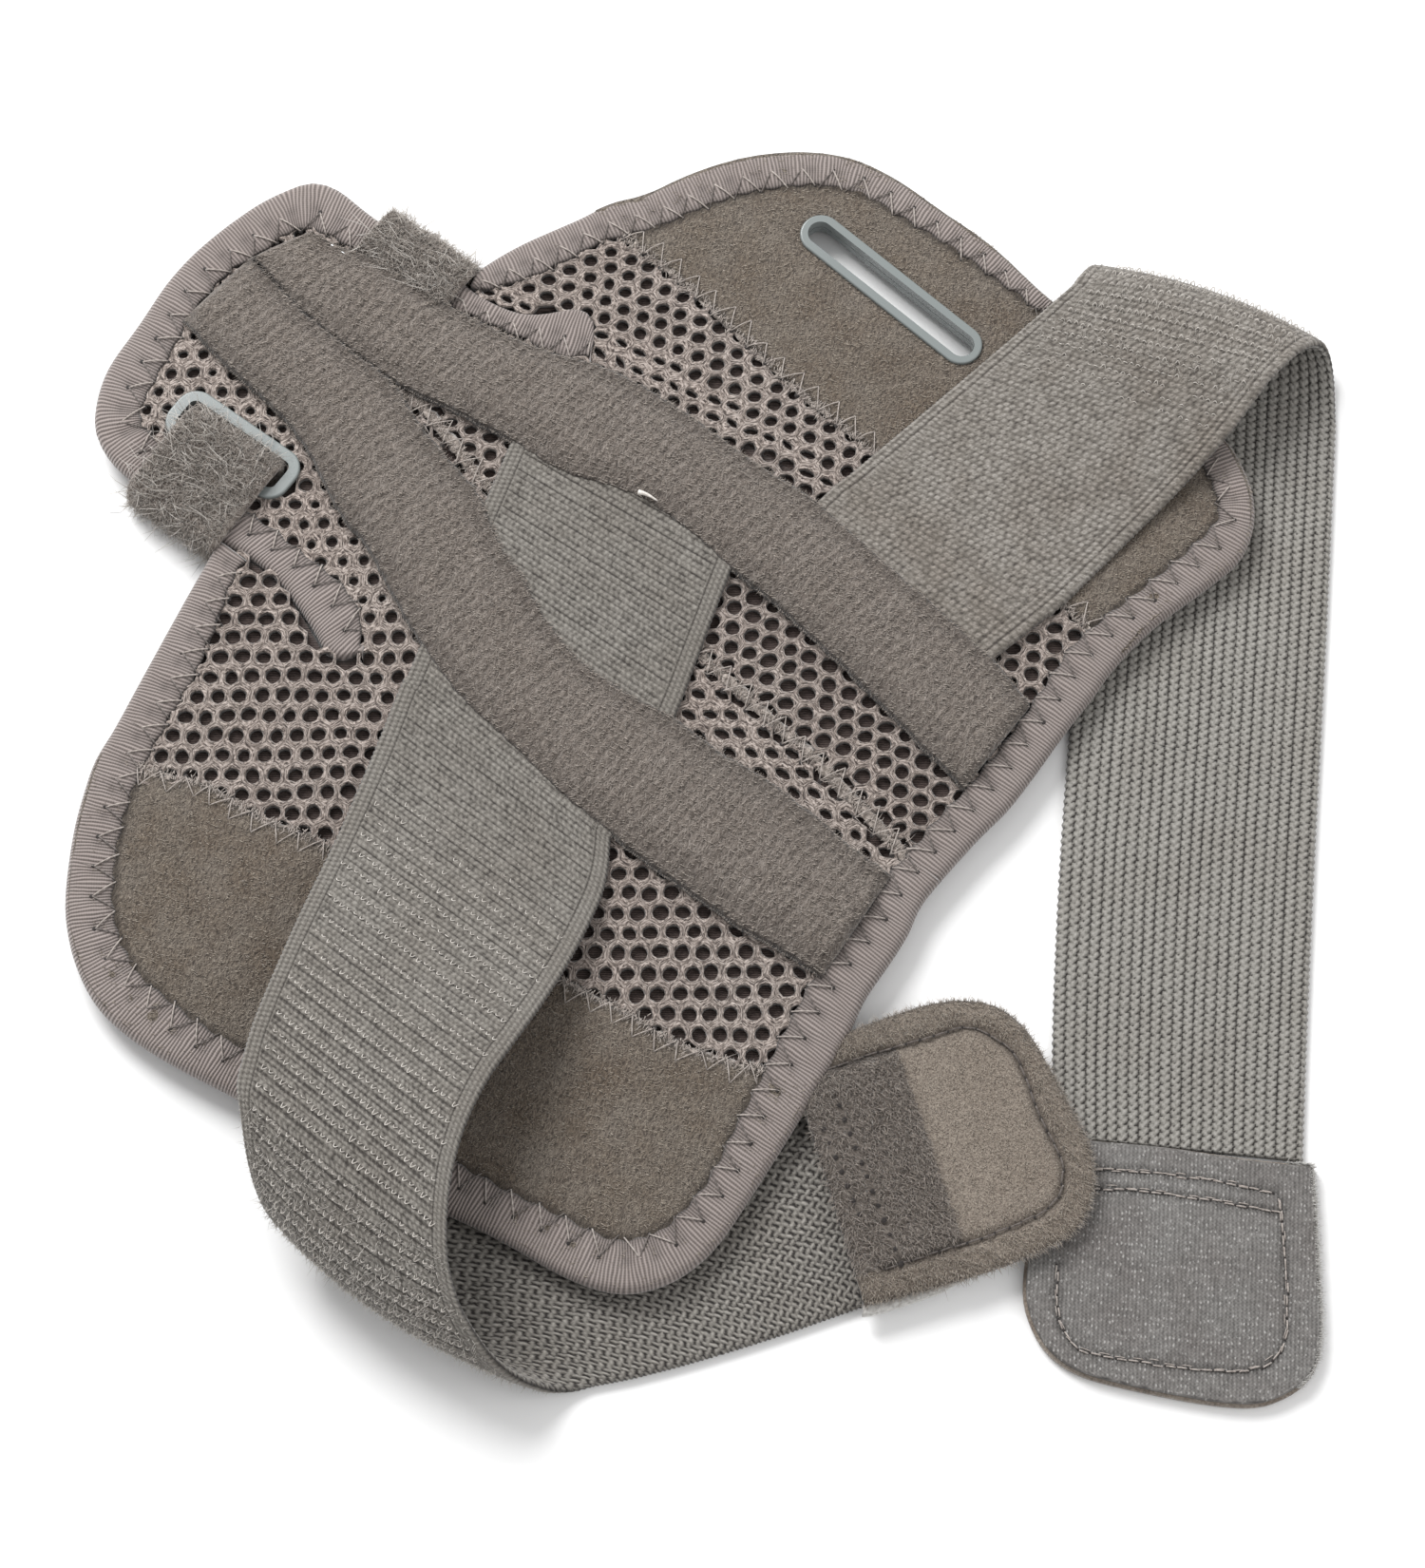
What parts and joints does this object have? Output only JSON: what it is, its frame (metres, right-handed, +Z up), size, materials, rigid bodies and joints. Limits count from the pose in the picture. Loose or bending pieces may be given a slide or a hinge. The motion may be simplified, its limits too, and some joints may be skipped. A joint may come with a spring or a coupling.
{
  "type": "wrist splint brace",
  "caption": "Wrist and forearm splint lying open: mesh panel with bound edge, slit wings, stay pockets, looped elastic straps with hook-and-loop tabs.",
  "frame": {"origin": "under the middle of the whole open piece, on the surface it lies on", "axes": "+Z up off the surface, +Y along the forearm towards the palm end, +X towards the right wing"},
  "size_m": [0.278, 0.3244, 0.0274],
  "materials": {
    "mesh": "knitted spacer mesh",
    "lining": "brushed inner lining",
    "binding": "ribbed edge tape",
    "loop_tape": "short brushed loop pile",
    "patch": "flat brushed loop",
    "elastic": "knitted elastic webbing",
    "palm_webbing": "long brushed loop pile",
    "hook_tape": "ribbed hook tape",
    "ring": "satin moulded",
    "stay": "bare strip"
  },
  "bodies": {
    "brace": {"center_lining": "lining", "center_mesh_right": "mesh", "center_mesh_left": "mesh", "palm_binding": "binding", "wide_binding": "binding", "stay_pocket_right": "loop_tape", "stay_pocket_left": "loop_tape", "stay_right": "stay", "stay_left": "stay", "palm_ring_front": "ring", "palm_ring_back": "ring", "palm_strap": "palm_webbing", "palm_strap_hook": "hook_tape", "strap_1_root": "elastic", "strap_2_root": "elastic", "strap_1_lower": "elastic", "strap_2_lower": "elastic"},
    "right_wing": {"right_wing_lining": "lining", "right_wing_mesh": "mesh", "right_wing_patch": "patch", "right_wing_binding": "binding", "right_ring_front": "ring", "right_ring_back": "ring"},
    "left_wing": {"left_wing_lining": "lining", "left_wing_mesh": "mesh", "left_wing_patch": "patch", "left_wing_binding": "binding"},
    "strap_1": {"strap_1_upper": "elastic"},
    "strap_2": {"strap_2_upper": "elastic"},
    "strap_1_tab": {"tab_1_loop_base": "loop_tape", "tab_1_hook_base": "hook_tape"},
    "tab_1_free_end": {"tab_1_loop_end": "loop_tape", "tab_1_hook_end": "hook_tape"},
    "strap_2_tab_seam": {"strap_2_end": "elastic"},
    "tab_2": {"tab_2_hook": "hook_tape", "tab_2_loop": "loop_tape"}
  },
  "joints": [
    {"name": "right_wing_fold", "type": "hinge", "parent": "brace", "child": "right_wing", "pos_m": [0.05267, 0.02702, 0.00845], "axis": [0.0476, -0.9989, 0], "range_deg": [0, 60]},
    {"name": "left_wing_fold", "type": "hinge", "parent": "brace", "child": "left_wing", "pos_m": [-0.03491, 0.03294, 0.00845], "axis": [0.0694, 0.9976, 0], "range_deg": [0, 60]},
    {"name": "strap_1_lift", "type": "hinge", "parent": "right_wing", "child": "strap_1", "pos_m": [0.05267, 0.02702, 0.00845], "axis": [0.0476, -0.9989, 0], "range_deg": [0, 25]},
    {"name": "strap_2_lift", "type": "hinge", "parent": "left_wing", "child": "strap_2", "pos_m": [-0.03491, 0.03294, 0.00845], "axis": [0.0694, 0.9976, 0], "range_deg": [0, 25]},
    {"name": "strap_1_stretch", "type": "slide", "parent": "brace", "child": "strap_1_tab", "axis": [-0.8591, -0.5118, 0], "range_m": [0, 0.035]},
    {"name": "tab_1_peel", "type": "hinge", "parent": "strap_1_tab", "child": "tab_1_free_end", "pos_m": [-0.04922, -0.13135, 0.00275], "axis": [-0.4764, 0.8792, 0], "range_deg": [0, 70]},
    {"name": "strap_2_stretch", "type": "slide", "parent": "brace", "child": "strap_2_tab_seam", "axis": [0.7904, -0.6126, 0], "range_m": [0, 0.02]},
    {"name": "tab_2_peel", "type": "hinge", "parent": "strap_2_tab_seam", "child": "tab_2", "pos_m": [-0.07447, -0.06889, 0.00575], "axis": [-0.6281, -0.7781, 0], "range_deg": [0, 80]}
  ]
}
